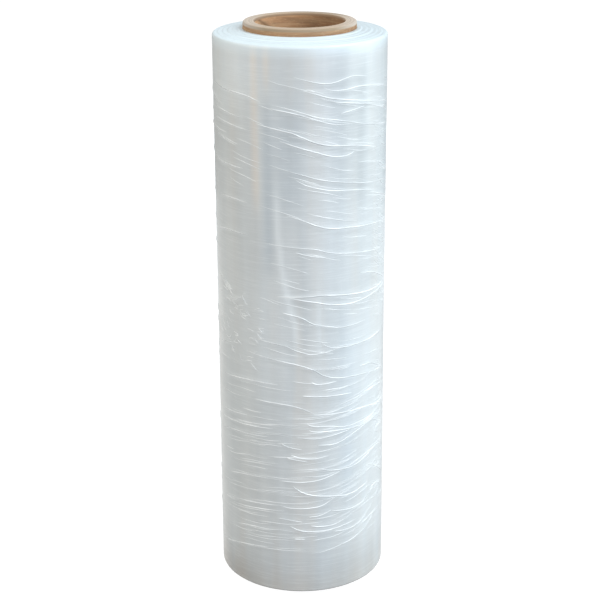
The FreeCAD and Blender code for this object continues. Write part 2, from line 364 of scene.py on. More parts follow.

# %% [markdown]
# Where the creases run
#
# The creases are the face of this object, so the main ones on the front are listed one by one: each
# is a few points of angle round the roll and percent up the side. In the upper half they fall
# to the right like a slow thread, because the film went on at a slant. Lower down they lie level.
# Left of the middle a thumb has dented the film, which leaves a patch of short, steep crumples.

# %% Creases listed one by one
LONG_CREASES = [
    [(-4, 95.0), (10, 94.0), (20, 93.8), (35, 94.6), (48, 94.2)],
    [(14, 93.3), (20, 92.6), (30, 92.5), (45, 92.7), (80, 91.2)],
    [(-73, 92.3), (-60, 91.9), (-38, 91.5), (-26, 90.6)],
    [(0, 92.9), (10, 92.1), (20, 91.3), (34, 90.7), (60, 89.5), (84, 88.5)],
    [(17, 91.3), (24, 90.6), (34, 90.2), (52, 89.2), (80, 87.2)],
    [(-20, 90.3), (-10, 89.9), (0, 89.2), (10, 88.3), (28, 87.4), (50, 86.0), (70, 85.0)],
    [(-20, 89.7), (-8, 89.2), (0, 88.7), (12, 87.7), (22, 86.9), (33, 86.7)],
    [(-30, 87.0), (-7, 85.8), (0, 85.1), (10, 84.0), (20, 83.4), (40, 82.8), (60, 81.6)],
    [(-14, 84.4), (0, 83.2), (10, 82.4), (20, 81.6), (30, 81.4), (37, 81.9)],
    [(-22, 80.3), (0, 78.7), (10, 77.9), (20, 77.3), (45, 76.1), (66, 75.2)],
    [(-4, 77.9), (5, 76.7), (20, 75.7), (35, 75.3), (58, 74.3)],
    [(26, 88.6), (34, 88.9), (46, 89.3)],
    [(-73, 88.3), (-60, 88.1), (-40, 87.5)],
    [(-73, 86.5), (-60, 86.3), (-34, 85.6)],
    [(-73, 83.6), (-60, 83.5), (-44, 82.9)],
    [(-75, 79.4), (-60, 79.1), (-40, 78.9)],
    [(60, 79.2), (70, 77.9), (82, 76.9)],
    [(52, 74.2), (66, 73.0), (82, 71.6)],
    [(62, 70.0), (71, 68.4), (82, 67.1)],
    [(-68, 73.1), (-50, 73.3), (-37, 73.1)],
    [(-10, 71.7), (0, 70.9), (10, 69.8), (20, 69.1), (35, 68.8), (60, 68.2), (80, 67.6)],
    [(-24, 66.5), (-12, 66.2), (0, 65.9), (10, 65.6), (20, 64.8), (35, 64.2), (70, 63.0)],
    [(-4, 65.2), (4, 64.6), (16, 64.0)],
    [(-74, 66.7), (-57, 67.4), (-37, 67.4)],
    [(60, 62.0), (68, 61.3), (79, 59.6)],
    [(42, 60.3), (58, 59.3), (74, 57.2)],
    [(-16, 57.1), (4, 57.2), (15, 57.3), (30, 56.9), (52, 56.4), (78, 56.6)],
    [(-12, 57.2), (0, 56.6), (10, 56.1), (20, 55.5), (36, 55.1), (60, 55.6), (80, 56.0)],
    [(-66, 54.1), (-56, 54.7), (-46, 55.4)],
    [(-13, 54.3), (0, 53.4), (8, 52.2), (20, 51.4), (30, 51.0), (48, 51.2)],
    [(13, 48.6), (20, 47.6), (30, 47.3), (55, 47.4), (78, 48.2)],
    [(-32, 48.9), (-12, 48.2), (-5, 47.5), (2, 46.9), (8, 46.6), (20, 47.0), (34, 48.0)],
    [(-40, 46.2), (-10, 45.1), (0, 44.5), (8, 43.7), (15, 42.5), (25, 41.7), (45, 41.2), (76, 40.0)],
    [(42, 42.9), (56, 42.4), (76, 39.6)],
    [(6, 41.4), (12, 40.9), (24, 41.1)],
    [(-66, 39.8), (-40, 40.7), (-16, 40.8)],
    [(0, 38.9), (12, 38.6), (36, 38.3)],
    [(-34, 37.4), (-14, 37.2), (-4, 36.8), (4, 36.0), (9, 35.3)],
    [(5, 35.3), (12, 35.1), (22, 35.0), (50, 34.6), (74, 33.2)],
    [(3, 33.6), (8, 33.0), (20, 32.7), (32, 32.1), (60, 32.5)],
    [(4, 32.4), (9, 31.9), (24, 31.7), (44, 31.4), (64, 31.9)],
    [(-5, 31.1), (4, 30.7), (12, 30.6), (28, 31.1), (48, 31.9), (74, 33.6)],
    [(-70, 32.8), (-58, 33.2), (-40, 33.8)],
    [(-73, 31.0), (-50, 31.7), (-20, 32.3)],
    [(-72, 28.9), (-52, 29.9), (-22, 30.6)],
    [(-14, 29.6), (-9, 29.0), (0, 28.6)],
    [(10, 29.3), (24, 29.2), (40, 30.6), (54, 31.4), (66, 30.2), (78, 28.4)],
    [(-8, 27.5), (0, 26.9), (8, 26.7), (18, 27.1)],
    [(-10, 26.9), (-3, 26.5), (4, 26.2)],
    [(12, 24.7), (20, 24.1), (30, 23.9), (40, 24.1), (58, 25.6)],
    [(-16, 22.3), (0, 22.2), (12, 22.5), (24, 23.4), (36, 24.4)],
    [(-7, 21.5), (0, 20.2), (8, 19.5), (20, 19.0), (35, 18.6), (54, 19.6)],
    [(50, 23.2), (62, 21.6), (78, 18.6)],
    [(-60, 20.9), (-40, 22.1), (-15, 22.5)],
    [(-16, 17.4), (-8, 17.0), (4, 17.0), (14, 17.4), (26, 19.0), (44, 20.2)],
    [(-65, 15.4), (-40, 16.8), (-14, 17.4)],
    [(20, 16.1), (28, 15.7), (38, 15.6), (48, 16.2), (62, 18.4)],
    [(4, 15.2), (12, 15.4), (20, 16.2)],
    [(-17, 14.8), (-9, 14.6), (0, 14.3)],
    [(-9, 13.4), (-2, 12.6), (5, 12.3), (20, 12.3), (40, 13.0)],
    [(5, 13.5), (12, 13.2), (22, 13.2), (34, 14.2)],
    [(22, 11.8), (30, 11.6), (42, 12.0), (58, 14.6)],
    [(28, 8.7), (38, 9.4), (48, 10.4), (60, 12.2)],
    [(-52, 11.2), (-38, 12.0), (-18, 12.3)],
    [(-78, 6.0), (-65, 6.3), (-45, 7.7), (-24, 8.6)],
    [(-6, 10.8), (2, 10.8)],
]
CRUMPLES = [
    [(-73, 58.1), (-63, 57.8), (-55, 57.0)],
    [(-58.5, 57.5), (-54, 56.7)],
    [(-64, 57.2), (-57, 56.4), (-52, 55.6)],
    [(-54.5, 54.5), (-49, 55.0), (-43.6, 55.9)],
    [(-43.4, 56.3), (-41.3, 55.5), (-39, 54.7)],
    [(-73, 55.0), (-66, 55.3)],
    [(-71, 51.7), (-65, 50.7)],
    [(-30.5, 51.0), (-25.5, 49.9)],
    [(-31.6, 50.0), (-27, 48.8)],
    [(-29.5, 49.1), (-25.5, 50.7)],
    [(-33.4, 48.8), (-29.6, 48.0)],
    [(-51.5, 48.2), (-46.8, 48.4)],
    [(-71, 45.6), (-53.4, 46.7)],
]
print(len(LONG_CREASES), "creases and", len(CRUMPLES), "crumples placed by hand")

# %% [markdown]
# From a few points to a line
#
# Four neighbouring points are enough to draw a smooth stretch between the middle two. Walking
# along all the stretches gives a line that passes through every point and never turns sharply.


# %% Smooth line through points
def smooth_line(points, step=1.5):
    """Places along a smooth line through points of angle and percent, about step degrees apart."""
    first = [2 * a - b for a, b in zip(points[0], points[1])]
    last = [2 * a - b for a, b in zip(points[-1], points[-2])]
    p = np.array([first, *points, last], float)
    places = []
    for i in range(1, len(p) - 2):
        count = max(2, math.ceil((p[i + 1][0] - p[i][0]) / step))
        share = np.arange(count)[:, None] / count
        bend = 2 * p[i - 1] - 5 * p[i] + 4 * p[i + 1] - p[i + 2]
        twist = 3 * p[i] - p[i - 1] - 3 * p[i + 1] + p[i + 2]
        slope = p[i + 1] - p[i - 1]
        places.append((2 * p[i] + slope * share + bend * share**2 + twist * share**3) / 2)
    places.append(p[-2][None, :])
    return np.vstack(places)


example = smooth_line(LONG_CREASES[0])
print("first crease has", len(example), "places")

# %% [markdown]
# The rest of the creases
#
# Between the long creases lie many short, faint ones, and the back of the roll has its own. They
# are scattered by rule with fixed seeds. Those in front run the way their listed neighbours do,
# and a fan of little creases stands on the right, where the film was pulled sideways.
# Short, faint ones at odd slants fill the dented patch.

# %% Scattered creases
SCATTER_SEED = 11
DENT_SEED = 5
scatter = random.Random(SCATTER_SEED)

# Percent by which the creases about an angle lie above those in front, low and high on the roll.
LOW_COURSE = (
    [-80, -60, -40, -15, 0, 12, 24, 36, 50, 62, 80],
    [-2.2, -1.5, -0.6, 0, -0.1, 0, 0.5, 1.3, 2.3, 2.8, 2.2],
)
HIGH_COURSE = (
    [-80, -60, -26, 0, 28, 56, 84],
    [4.4, 3.7, 1.8, 0, -1.9, -3.2, -4.4],
)
COURSE_CHANGE = (28, 60)
QUARTERS = (0.0, 0.3, 0.65, 1.0)
FRONT_LIMIT = 82
FAN_ANGLES = (52, 86)
FAN_LOW, FAN_HIGH = (14, 36), (54, 90)
DENT_ANGLES = (-73, -30)
DENT_PERCENTS = (46, 59)
BACK_STARTS = (92, 200, 236)
BACK_LOW, BACK_SPAN = 7, 88


def slanted(start, percent, span, fall, sway):
    """A crease that falls by so many percent over its span and sways a little on the way."""
    return [
        (start + span * q, percent - fall * (1 - (1 - q) ** 1.5) + sway * math.sin(5 * q + percent))
        for q in QUARTERS
    ]


def course(angle, percent):
    """How far the creases at an angle lie above those in front, at a percent up the side."""
    share = step_up(percent, *COURSE_CHANGE)
    return (1 - share) * np.interp(angle, *LOW_COURSE) + share * np.interp(angle, *HIGH_COURSE)


def alongside(start, percent, span, sway):
    """A crease that runs the way its listed neighbours do."""
    first = course(start, percent)
    line = []
    for q in QUARTERS:
        angle = start + span * q
        waver = sway * math.sin(0.2 * angle + 9 * percent)
        line.append((angle, percent + course(angle, percent) - first + waver))
    return line


def front_threads(count, low, high, longest, leftmost):
    lines = []
    for _ in range(count):
        span = scatter.uniform(10, longest)
        start = scatter.uniform(leftmost, FRONT_LIMIT - span)
        lines.append(alongside(start, scatter.uniform(low, high), span, 0.1))
    return lines


def right_fan(count):
    lines = []
    for _ in range(count):
        percent = scatter.choice([scatter.uniform(*FAN_LOW), scatter.uniform(*FAN_HIGH)])
        span = scatter.uniform(8, 22)
        start = scatter.uniform(FAN_ANGLES[0], FAN_ANGLES[1] - span)
        fall = scatter.uniform(0.03, 0.2) if percent > 50 else scatter.uniform(-0.1, 0.12)
        lines.append(slanted(start, percent, span, fall * span, 0.15))
    return lines


def dented_patch(count):
    """Short, faint creases at odd slants, where a thumb dented the film left of the middle."""
    dents = random.Random(DENT_SEED)
    lines = []
    for _ in range(count):
        start, percent = dents.uniform(*DENT_ANGLES), dents.uniform(*DENT_PERCENTS)
        span, fall = dents.uniform(3, 8), dents.uniform(-0.9, 1.3)
        lines.append(slanted(start, percent - 0.1 * (start - DENT_ANGLES[0]), span, fall, 0.15))
    return lines


def back_creases(rows):
    lines = []
    for row in range(rows):
        for start in BACK_STARTS:
            percent = BACK_LOW + BACK_SPAN * (row + scatter.uniform(0.1, 0.9)) / rows
            span = scatter.uniform(24, 66) if start > BACK_STARTS[0] else scatter.uniform(24, 60)
            first = start + scatter.uniform(-6, 8)
            fall = scatter.uniform(0.01, 0.05) * span * (percent / 60)
            line = slanted(first, percent, span, fall, 0.25)
            lines.append([(angle - 360 if first > 180 else angle, up) for angle, up in line])
    return lines


THIN_CREASES = front_threads(85, low=40, high=95, longest=34, leftmost=-30)
THIN_CREASES += front_threads(24, low=76, high=93, longest=30, leftmost=-74)
THIN_CREASES += front_threads(140, low=7, high=40, longest=50, leftmost=-74)
THIN_CREASES += right_fan(110)
BACK_CREASES = back_creases(26)
DENTS = dented_patch(60)
print(len(THIN_CREASES), "thin creases,", len(BACK_CREASES), "round the back")

# %% [markdown]
# Sizes of a crease
#
# A crease is a fold of a few layers of film: about a millimetre wide and a third of one high. It
# rises from nothing, is strongest somewhere in the middle and dies away, and it lifts the turns
# beside it a little. Each line therefore gets a strength along its length. The low ones near the
# middle of the front start bluntly, and the rest swell slowly.


# %% Give each crease its strength
def strength_along(count, peak):
    """Strength at each place of a crease: nothing at the ends and most at the peak, a share of 1."""
    share = np.linspace(0, 1, count)
    fade = (1 - 0.5 * step_up(share, peak, 0.95)) * (1 - step_up(share, 0.82, 1))
    return np.sqrt(step_up(share, 0, peak) * fade + 1e-9)


def prepared(lines, height, width, lift, peaks=(0.35, 0.65)):
    """Each line as a crease with a strength. Its sizes are given in millimetres."""
    out = []
    for line in lines:
        places = smooth_line(line)
        peak = scatter.uniform(*peaks)
        scale = scatter.uniform(0.75, 1.15)
        out.append({
            "angle": places[:, 0],
            "up": SIDE_FOOT + SIDE_HEIGHT * places[:, 1] / 100,
            "strength": strength_along(len(places), peak),
            "height": height * scale * MM,
            "width": width * scale * MM,
            "lift": lift * scale * MM,
        })
    return out


blunt = [line for line in LONG_CREASES if line[0][0] > -20 and line[0][1] < 60]
slow = [line for line in LONG_CREASES if line not in blunt]
CREASES = prepared(blunt, height=0.42, width=1.2, lift=0.22, peaks=(0.08, 0.2))
CREASES += prepared(slow, height=0.36, width=1.1, lift=0.20, peaks=(0.22, 0.4))
CREASES += prepared(CRUMPLES, height=0.32, width=1.1, lift=0.20)
CREASES += prepared(BACK_CREASES, height=0.32, width=1.0, lift=0.18)
THREADS = prepared(THIN_CREASES, height=0.15, width=0.65, lift=0.06)
THREADS += prepared(DENTS, height=0.15, width=0.6, lift=0.08)
print(len(CREASES) + len(THREADS), "creases in all")

# %% [markdown]
# The relief of the side
#
# The side isn't a true cylinder. Bands of slightly different tension run up it, hills a few
# millimetres wide run round it, and towards the foot, where the roll stands, the turns spread a
# little. The relief is a height for each angle and level, counted from the loose end, so its only
# break is where the film ends.

# %% Relief as a function of place
# Each landscape: depth, degrees across one hill, height of one hill, kind.
BANDS = (0.16 * MM, 11, 170 * MM, 3)
ROLLING = (0.11 * MM, 30, 9 * MM, 5)
RIPPLE = (0.06 * MM, 14, 4.2 * MM, 8)
CALM_ENDS = (45 * MM, 8 * MM)
CALM_SHARE = 0.8
LIFT_REACH = 1.1
TROUGH_SHARE = 0.45
TROUGH_PLACE = 1.7
SLANT = 0.09 * MM
SLANT_HEIGHTS = (0.42, 0.62)
LIP_HEIGHT = 0.35 * MM
LIP_SPAN = 14.0
FOOT_SPREAD = 0.8 * MM
SPREAD_REACH = 300 * MM


def from_loose_end(angle):
    """The angle counted from the loose end, from 0 to 360."""
    return np.mod(angle - LOOSE_END, 360)


def slant_of(up):
    """How far the film's slant carries a crease down, in metres for each degree round the roll."""
    return SLANT * step_up((up - SIDE_FOOT) / SIDE_HEIGHT, *SLANT_HEIGHTS)


def landscape(sizes, turn_on, level):
    depth, across, tall, kind = sizes
    return depth * (hills(turn_on / across, level / tall, kind) - 0.5)


def wrapped_angle(angle):
    """The same angle, counted from LOOSE_END - 360 up to LOOSE_END, as creases and streaks are."""
    return np.mod(angle - LOOSE_END, 360) + LOOSE_END - 360


def crease_lift(angle, up):
    """How far all creases together lift the turns beside them, with a trough below each."""
    lift = np.zeros(np.broadcast(angle, up).shape)
    wrapped = wrapped_angle(angle)
    for crease in CREASES + THREADS:
        inside = (wrapped >= crease["angle"][0]) & (wrapped <= crease["angle"][-1])
        if not inside.any():
            continue
        line = np.interp(wrapped, crease["angle"], crease["up"])
        strength = np.interp(wrapped, crease["angle"], crease["strength"]) * inside
        reach = (up - line) / (2 * LIFT_REACH * crease["width"])
        trough = TROUGH_SHARE * np.exp(-((reach + TROUGH_PLACE) ** 2))
        lift += crease["lift"] * strength * (np.exp(-(reach**2)) - trough)
    return lift


def relief(angle, up):
    """How far the film's side stands off its true cylinder, in metres."""
    turn_on = from_loose_end(angle)
    level = up + slant_of(up) * turn_on
    far, near = CALM_ENDS
    rough = step_up(up, SIDE_FOOT + near, SIDE_FOOT + far)
    rough = rough * (1 - CALM_SHARE * step_up(up, SIDE_HEAD - far, SIDE_HEAD - near))
    small = landscape(ROLLING, turn_on, level) + landscape(RIPPLE, turn_on, level)
    lip = LIP_HEIGHT * step_up(turn_on, 360 - LIP_SPAN, 360)
    spread = FOOT_SPREAD * (1 - step_up(up, SIDE_FOOT, SPREAD_REACH))
    return landscape(BANDS, turn_on, up) + rough * small + lip + spread


sample = relief(np.linspace(-80, 80, 9), np.full(9, 0.25))
print("relief at mid height, mm:", np.round(sample / MM, 3))

# %% [markdown]
# Milky and clear streaks, and painted light and shade
#
# Where air is caught between turns the film looks milky, and where the turns lie tight it looks
# clear and a little blue or brown from what is under it. These streaks run up the roll, for the
# tension across the web changes slowly. The strongest ones are listed one by one: each is a line of
# angle and percent, a width in degrees, how milky it is and how warm.

# %% Streaks listed one by one
# Each: points of angle and percent, width, how milky, how warm; some are painted light and shade.
STREAKS = [
    # Painted reflection: a pale warm band where a lamp would mirror.
    ([(-31, 101), (-30, 73)], 3.2, 0.30, 0.9),
    ([(-22, 90), (-21, 62)], 4.0, -0.35, -0.6),
    ([(-7, 90), (-8, 72)], 8.0, -0.35, -0.5),
    # Painted reflection: a bright band where a lamp would mirror.
    ([(-16, 76), (-15, 68), (-12.5, 62), (-9, 57), (-4, 52), (-3, 47)], 2.4, 0.95, 0.0),
    ([(1, 70), (2, 58), (3, 48)], 3.6, -0.35, -0.2),
    ([(11.5, 58), (12, 47)], 1.8, 0.6, -0.1),
    ([(27, 60), (28, 56)], 2.0, 0.4, 0.2),
    ([(-74, 57), (-70, 50)], 7.0, 0.6, 0.0),
    ([(-45, 99), (-42, 93)], 12.0, 0.7, -0.3),
    ([(50, 54), (48, 8)], 22.0, 0.5, -0.1),
    # Painted shade: a darker line down the right edge.
    ([(74, 100), (76, 60), (78, 20)], 5.0, -0.3, -0.2),
    ([(36, 50), (33, 20)], 9.0, 0.15, -0.3),
    # Painted light: the top of the left side is painted lighter.
    ([(-62, 102), (-62, 88)], 26.0, 1.0, -0.1),
    # Painted shade: the foot of the left side is painted darker.
    ([(-62, 4), (-62, -3)], 26.0, -1.1, 0.2),
    # Painted shade: the top of the right half is painted darker.
    ([(30, 98), (32, 74)], 26.0, -0.5, 0.0),
    ([(43, 97), (43, 73)], 5.0, -0.6, -0.2),
    ([(-22, 104), (-22, 93)], 2.6, 0.2, 0.7),
    ([(-28, 60), (-26, 38)], 16.0, 0.45, 0.0),
    # Painted shade: the right edge is painted darker down to the foot.
    ([(77, 52), (77, 1)], 7.0, -1.0, 0.1),
]
# Painted shade: up to this percent the side is painted darker and warmer towards the foot.
FOOT_SHADE_HEIGHT = 13.0
BELOW_FOOT = -2.0
STREAK_FADE = 4


def streak_tones(angle, percent):
    """How milky and how warm the film is at each angle, at one percent up the side, with painted light
    and shade in both.
    """
    wrapped = wrapped_angle(angle)
    # Painted shade: darker and warmer towards the foot.
    milky_and_painted_light = -(1 - step_up(percent, BELOW_FOOT, FOOT_SHADE_HEIGHT)) * np.ones(angle.shape)
    warm = 0.5 * (1 - step_up(percent, BELOW_FOOT, 0.5 * FOOT_SHADE_HEIGHT)) * np.ones(angle.shape)
    for line, width, add_milky, add_warm in STREAKS:
        angles, percents = zip(*sorted(line, key=lambda point: point[1]))
        ends = step_up(percent, percents[0] - STREAK_FADE, percents[0] + STREAK_FADE)
        ends = ends * (1 - step_up(percent, percents[-1] - STREAK_FADE, percents[-1] + STREAK_FADE))
        reach = (wrapped - np.interp(percent, percents, angles)) / width
        share = ends * np.exp(-(reach**2))
        milky_and_painted_light, warm = milky_and_painted_light + add_milky * share, warm + add_warm * share
    return milky_and_painted_light, warm


print(len(STREAKS), "streaks placed by hand")

# %% [markdown]
# The film's body
#
# The body is one closed skin: up the side, over a soft shoulder, in over the edges of the turns to
# the core, down the core and out again below. It is made as a grid of rings, each ring a row of
# points with its own radius and height, because a wound thing is round everywhere.

# %% Rings of the end faces
HEAD_SHOULDER = 2.5 * MM
FOOT_SHOULDER = 1.2 * MM
SHOULDER_STEPS = 6
FOOT_SHADE = 2.5
BUNDLES = 6
BUNDLE_SETBACK = 0.14 * MM
BUNDLE_STEP = (0.86, 1.0)
FINE_EDGE = 0.05 * MM
EDGE_RINGS = 38
WINDING_GAP = 0.05 * MM
COLUMNS = 192
SIDE_ROWS = 372


def bundle_drop(share):
    """How far the turns' edges lie in, at a share of the way from the core to the outside."""
    bundle = np.minimum(np.floor(share * BUNDLES), BUNDLES - 1)
    within = share * BUNDLES - bundle
    stepped = step_up(within, *BUNDLE_STEP)
    drop = EDGE_DROP * (bundle + stepped) / (BUNDLES - 1)
    odd = (np.mod(bundle, 2) == 1) & (bundle < BUNDLES - 1)
    return np.minimum(drop, EDGE_DROP) + np.where(odd, BUNDLE_SETBACK * (1 - stepped), 0)


def edge_profile(kind, shoulder):
    """Radius and drop of the rings from the shoulder in to the core, with each turn's fine edge."""
    inner = CORE_OUTER + WINDING_GAP
    radii = np.linspace(FILM_RADIUS - shoulder, inner, EDGE_RINGS)
    share = (radii - inner) / (FILM_RADIUS - inner)
    fine = FINE_EDGE * (corner_value(np.arange(EDGE_RINGS), 7.0, kind) - 0.5)
    fine[0] = 0
    return radii, bundle_drop(share) + fine


def side_levels():
    rows = np.linspace(0, 1, SIDE_ROWS)
    return SIDE_FOOT + FOOT_SHOULDER + rows * (SIDE_HEIGHT - FOOT_SHOULDER - HEAD_SHOULDER)


print("side rows are", round((SIDE_HEIGHT / SIDE_ROWS) / MM, 2), "mm apart")

# %% [markdown]
# Columns that follow the loose end
#
# The film stops at a sharp edge round the back. Two columns of the grid stand right beside each
# other there, one on the lip and one on the turn below. The edge wanders a little on its way up,
# as a torn end does, and the columns near it wander along.


# %% Place the columns
EDGE_SLIP = 0.02
WANDER_REACH = 9


def column_angles():
    """Angles that go once round from just past the loose end to just before it."""
    inside = np.linspace(0, 360, COLUMNS, endpoint=False)[1:] + LOOSE_END
    return np.concatenate([[LOOSE_END + EDGE_SLIP], inside, [LOOSE_END + 360 - EDGE_SLIP]])


def wander(angles, up):
    """How far the columns near the loose end lean sideways at a level, in degrees."""
    turn_on = from_loose_end(angles)
    near = np.exp(-((np.minimum(turn_on, 360 - turn_on) / WANDER_REACH) ** 2))
    sway = 2.2 * (hills(up / (95 * MM), np.array(2.0), 21) - 0.5)
    return near * (sway + 0.5 * (hills(up / (21 * MM), np.array(5.0), 22) - 0.5))


ANGLES = column_angles()
print(len(ANGLES), "columns")


# %% [markdown]
# Ring upon ring
#
# Each ring holds its points and three tones: how far it is made of cut edges, with a painted glow
# below the top edge, how milky, with painted light and shade, and how warm. The side takes the
# relief and the lift of its creases, and the end faces soon forget it.


# %% Build the rings of the body
CREASE_HALO = 2.2
EDGE_GLOW = 0.6
EDGE_GLOW_DEPTH = 13 * MM
WHITE_TURN = (0.3, 1.5)


def edge_glow(up):
    """Painted light: how far a glow from the white edges is painted down into the side."""
    return EDGE_GLOW * (1 - step_up(SIDE_HEAD - up, 0, EDGE_GLOW_DEPTH))


def ring(radius, up, angles):
    turn_angle = np.radians(angles)
    height = np.broadcast_to(up, angles.shape)
    return np.stack([radius * np.sin(turn_angle), -radius * np.cos(turn_angle), height], axis=-1)


def film_rings():
    """All rings of the film from the core's foot, out, up the side and back in to the core."""
    rings, tones = [], []

    def add(radius, up, white):
        angles = ANGLES + wander(ANGLES, np.array(up))
        rings.append(ring(radius(angles), up, angles))
        milky_and_painted_light, warm = streak_tones(angles, 100 * (up - SIDE_FOOT) / SIDE_HEIGHT)
        tones.append(np.stack([np.broadcast_to(white, angles.shape), milky_and_painted_light, warm]))

    def following(r, up, share):
        """A ring that follows a share of the side's relief at a level."""
        return lambda angles: r + share * relief(angles, np.full(angles.shape, up))

    def nearness(r):
        """1 at the side and quickly less towards the core."""
        return ((r - CORE_OUTER) / (FILM_RADIUS - CORE_OUTER)) ** 4

    radii, drops = edge_profile(1.0, FOOT_SHOULDER)
    for r, drop in zip(radii[::-1], drops[::-1]):
        add(following(r, SIDE_FOOT, nearness(r)), FILM_FOOT + drop, 1.0)
    corner = np.linspace(0, math.pi / 2, SHOULDER_STEPS + 1)[1:-1]
    for a in corner:
        up = SIDE_FOOT + FOOT_SHOULDER * (1 - math.cos(a))
        add(following(FILM_RADIUS - FOOT_SHOULDER * (1 - math.sin(a)), up, 1.0), up, 0.0)
        # Painted shade: the foot's rounded corner is painted darker still.
        tones[-1][1] -= FOOT_SHADE
    for up in side_levels():
        angles = ANGLES + wander(ANGLES, np.array(up))
        lift = crease_lift(angles, up)
        height = relief(angles, np.full(angles.shape, up)) + lift
        add(lambda _, radius=FILM_RADIUS + height: radius, up, edge_glow(up))
        tones[-1][1] += CREASE_HALO * lift / MM
    for a in corner[::-1]:
        up = SIDE_HEAD - HEAD_SHOULDER * (1 - math.cos(a))
        white = max(edge_glow(up), 1 - step_up(a, *WHITE_TURN))
        add(following(FILM_RADIUS - HEAD_SHOULDER * (1 - math.sin(a)), up, 1.0), up, white)
    radii, drops = edge_profile(2.0, HEAD_SHOULDER)
    for r, drop in zip(radii, drops):
        add(following(r, SIDE_HEAD, nearness(r)), FILM_HEAD - drop, 1.0)
    return np.array(rings), np.array(tones)


def skin_from_rings(name, rings):
    """A closed skin through rings of points: the last ring joins the first again."""
    count, columns, _ = rings.shape
    index = np.arange(count * columns).reshape(count, columns)
    above = np.roll(index, -1, axis=0)
    beside = np.roll(index, -1, axis=1)
    corner = np.roll(above, -1, axis=1)
    faces = np.stack([index, beside, corner, above], axis=-1).reshape(-1, 4)
    return make_piece(name, rings.reshape(-1, 3).tolist(), faces.tolist())


rings, tones = film_rings()
film_body = skin_from_rings("film_body", rings)
for index, name in enumerate(("edge_on_and_glow", "milky_and_painted_light", "warm")):
    write_values(film_body, name, tones[:, index])
print("film body:", triangles(film_body), "triangles")

# %% [markdown]
# The creases themselves
#
# The crisp top of a crease is finer than the body's grid, so each one is a slim closed sliver: a
# rounded back that stands on the skin and a flat root sunk under it. It follows the crease's
# line, and its height and width follow the crease's strength.

# %% Build the creases
BACK_SHAPE = [(-1.0, -0.35), (-0.62, 0.42), (-0.22, 0.9), (0.12, 1.0), (0.5, 0.62), (1.0, -0.35)]
ROOT_DEPTH = 0.22 * MM
SKIRT_DEPTH = 0.06 * MM
ROOT_SHARE = 0.8
THIN_SHARE = 0.25


def crease_sliver(crease):
    """Rings of points round a crease, one at each place on its line."""
    angle, up = crease["angle"], crease["up"]
    ground = FILM_RADIUS + relief(angle, up) + crease_lift(angle, up)
    strength = crease["strength"]
    half_width = crease["width"] / 2 * (THIN_SHARE + (1 - THIN_SHARE) * strength)
    section = []
    for side, rise in BACK_SHAPE:
        high = rise * crease["height"] * strength if rise > 0 else -SKIRT_DEPTH
        section.append((ground + high, up + side * half_width))
    for side in (ROOT_SHARE, -ROOT_SHARE):
        section.append((ground - ROOT_DEPTH, up + side * half_width))
    turned = np.radians(angle)
    rings = [np.stack([r * np.sin(turned), -r * np.cos(turned), h], axis=-1) for r, h in section]
    return np.array(rings).transpose(1, 0, 2)


def slivers_as_one(name, creases):
    """All slivers as one piece, each a closed tube with a face at either end."""
    points, faces = [], []
    for crease in creases:
        rings = crease_sliver(crease)
        count, around, _ = rings.shape
        base = len(points)
        points += rings.reshape(-1, 3).tolist()
        for i in range(count - 1):
            for j in range(around):
                k = (j + 1) % around
                a, b = base + i * around, base + (i + 1) * around
                faces.append((a + j, a + k, b + k, b + j))
        faces.append([base + j for j in reversed(range(around))])
        faces.append([base + (count - 1) * around + j for j in range(around)])
    return make_piece(name, points, faces)


film_creases = slivers_as_one("film_creases", CREASES)
film_threads = slivers_as_one("film_threads", THREADS)
print("creases:", triangles(film_creases), "and", triangles(film_threads), "triangles")

# %% [markdown]
# The core
#
# The core is paperboard: strips of brown paper glued in a spiral, ply over ply. Its rims are cut
# square and then rubbed round by handling, and the cut shows the plies as fine rings. Inside, the
# seam of the innermost strip climbs the bore as a shallow step.

# %% Build the core
RIM_INNER_ROUND = 1.5 * MM
RIM_OUTER_ROUND = 1.8 * MM
ROUND_STEPS = 5
RIM_RINGS = 16
CORE_COLUMNS = 144
BORE_ROWS = 210
SEAM_RISE = 128 * MM
SEAM_FOOT = 38.5 * MM
SEAM_STEP = 0.22 * MM
SEAM_SLOPE = 0.02
SEAM_WIDTH = 0.012
SEAM_DEPTH = 0.75
PLY_DEPTH = 0.07 * MM
WALL_ROWS = 24
WALL_INSET = 3 * MM
BORE_INSET = 2.5 * MM
BORE_CROWDING = 1.6


def seam_relief(angle, up):
    """The innermost strip: it swells a little across its width and drops at the seam."""
    share = np.mod((up - SEAM_FOOT) / SEAM_RISE - angle / 360, 1)
    swell = step_up(share, 0, SEAM_SLOPE) - 0.5 * share
    return SEAM_STEP * swell * step_up(1 - share, 0, SEAM_SLOPE)


def seam_line(angle, up):
    """1 on the dark seam of the innermost strip, which climbs as a spiral, and 0 beside it."""
    share = np.mod((up - SEAM_FOOT) / SEAM_RISE - angle / 360 + 0.5, 1) - 0.5
    return SEAM_DEPTH * np.exp(-((share / SEAM_WIDTH) ** 2))


def rim_profile(ply):
    """Radius and height of the rings over one rim, from the bore out: round, plies, round."""
    turn_in = np.linspace(0, math.pi / 2, ROUND_STEPS + 1)
    inner = RIM_INNER_ROUND
    outer = RIM_OUTER_ROUND
    flat = np.linspace(CORE_INNER + inner, CORE_OUTER - outer, RIM_RINGS)
    rows = [(CORE_INNER + inner * (1 - math.cos(a)), inner * (1 - math.sin(a))) for a in turn_in[:-1]]
    rows += [(r, max(p, 0)) for r, p in zip(flat, ply)]
    rows += [(CORE_OUTER - outer * (1 - math.sin(a)), outer * (1 - math.cos(a))) for a in turn_in[1:]]
    return rows


